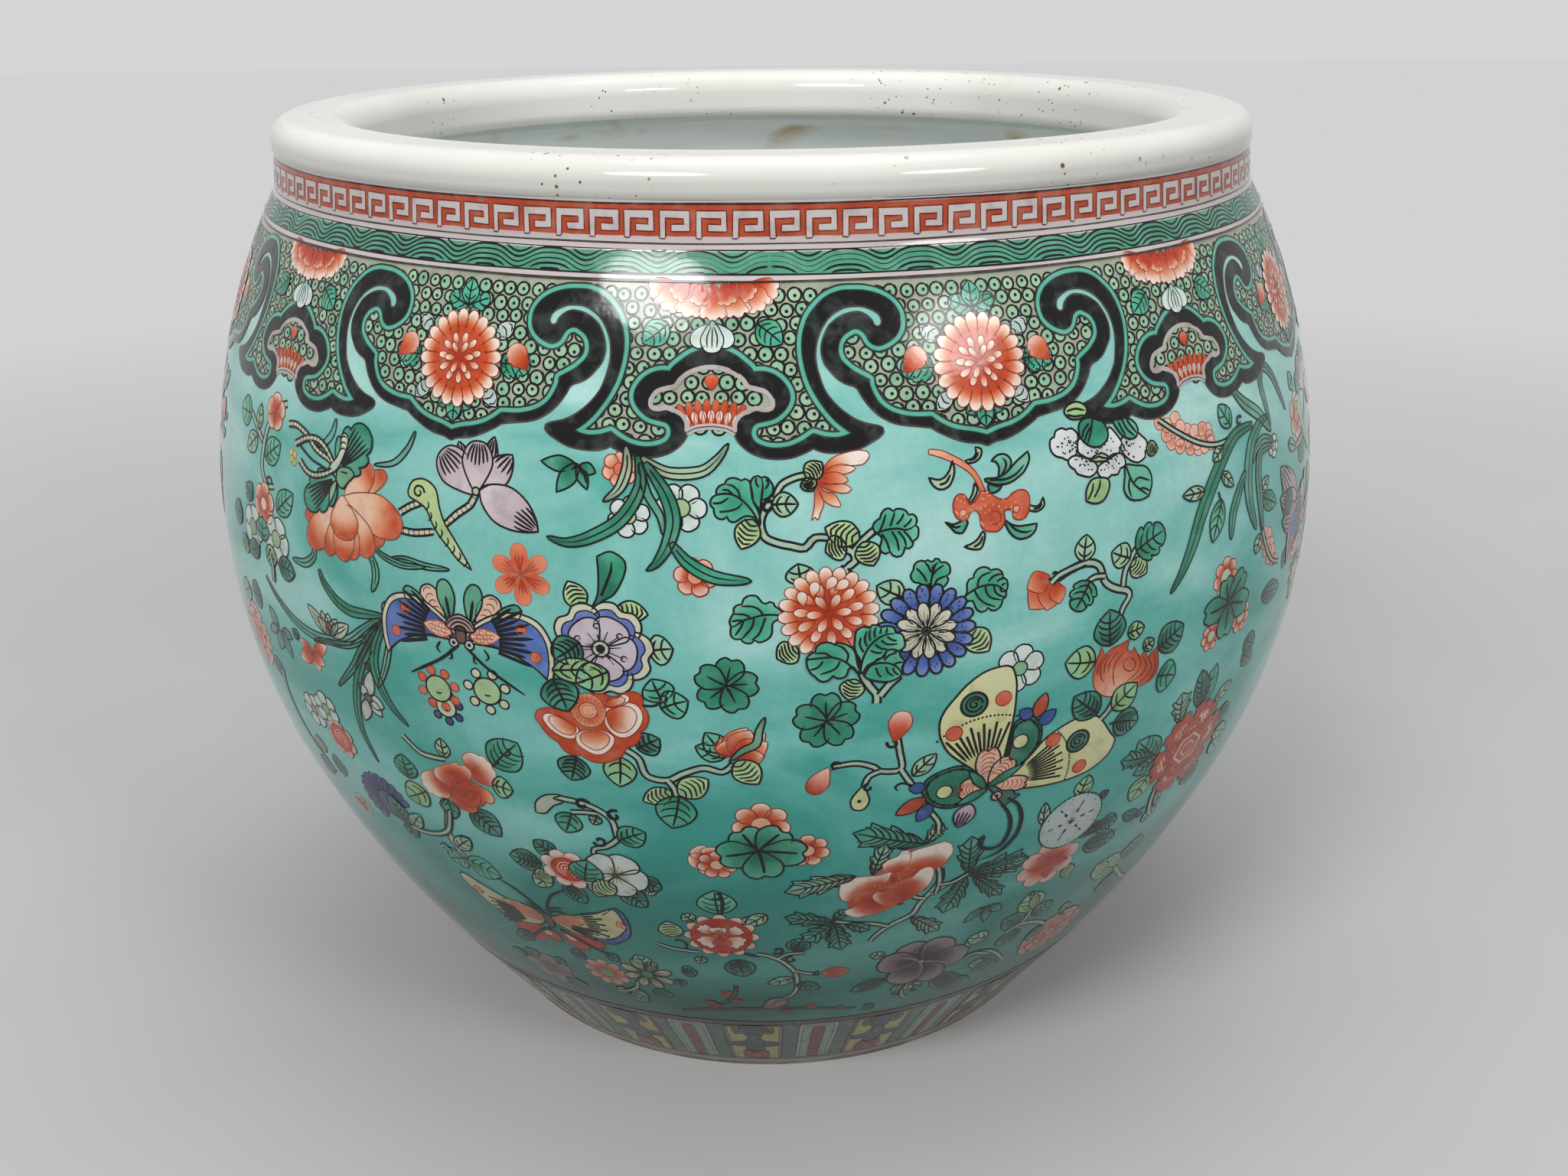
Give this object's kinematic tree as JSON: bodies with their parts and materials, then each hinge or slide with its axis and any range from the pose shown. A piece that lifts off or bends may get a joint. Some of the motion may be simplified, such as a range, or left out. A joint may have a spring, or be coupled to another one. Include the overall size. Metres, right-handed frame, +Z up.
{
  "type": "planter",
  "caption": "Round porcelain fish bowl planter with a thick rolled lip, swelling belly, tapered foot and painted enamel flowers and borders.",
  "frame": {"origin": "centre of the standing plane under the foot ring", "axes": "+Z up along the bowl's axis; -Y is the side that the picture shows"},
  "size_m": [0.4599, 0.46, 0.378],
  "materials": {
    "white_glaze": "clear gloss glaze on white porcelain",
    "inner_glaze": "pale greenish white gloss glaze",
    "ground_enamel": "glossy turquoise enamel, brushed and mottled",
    "border_enamel": "glossy iron red and green border enamels on white glaze",
    "foot_enamel": "glossy enamel panels above a bare fired edge",
    "coral_enamel": "glossy iron red enamel shading to white",
    "leaf_enamel": "glossy green enamel",
    "bloom_enamel": "glossy white, lilac, blue and yellow enamels",
    "line_pigment": "dark brown and black brush lines under clear enamel"
  },
  "bodies": {
    "root": {"foot_ring": "foot_enamel", "base_floor": "inner_glaze", "lower_wall": "ground_enamel", "upper_wall": "ground_enamel", "neck_collar": "border_enamel", "rim_lip": "white_glaze"}
  },
  "joints": []
}
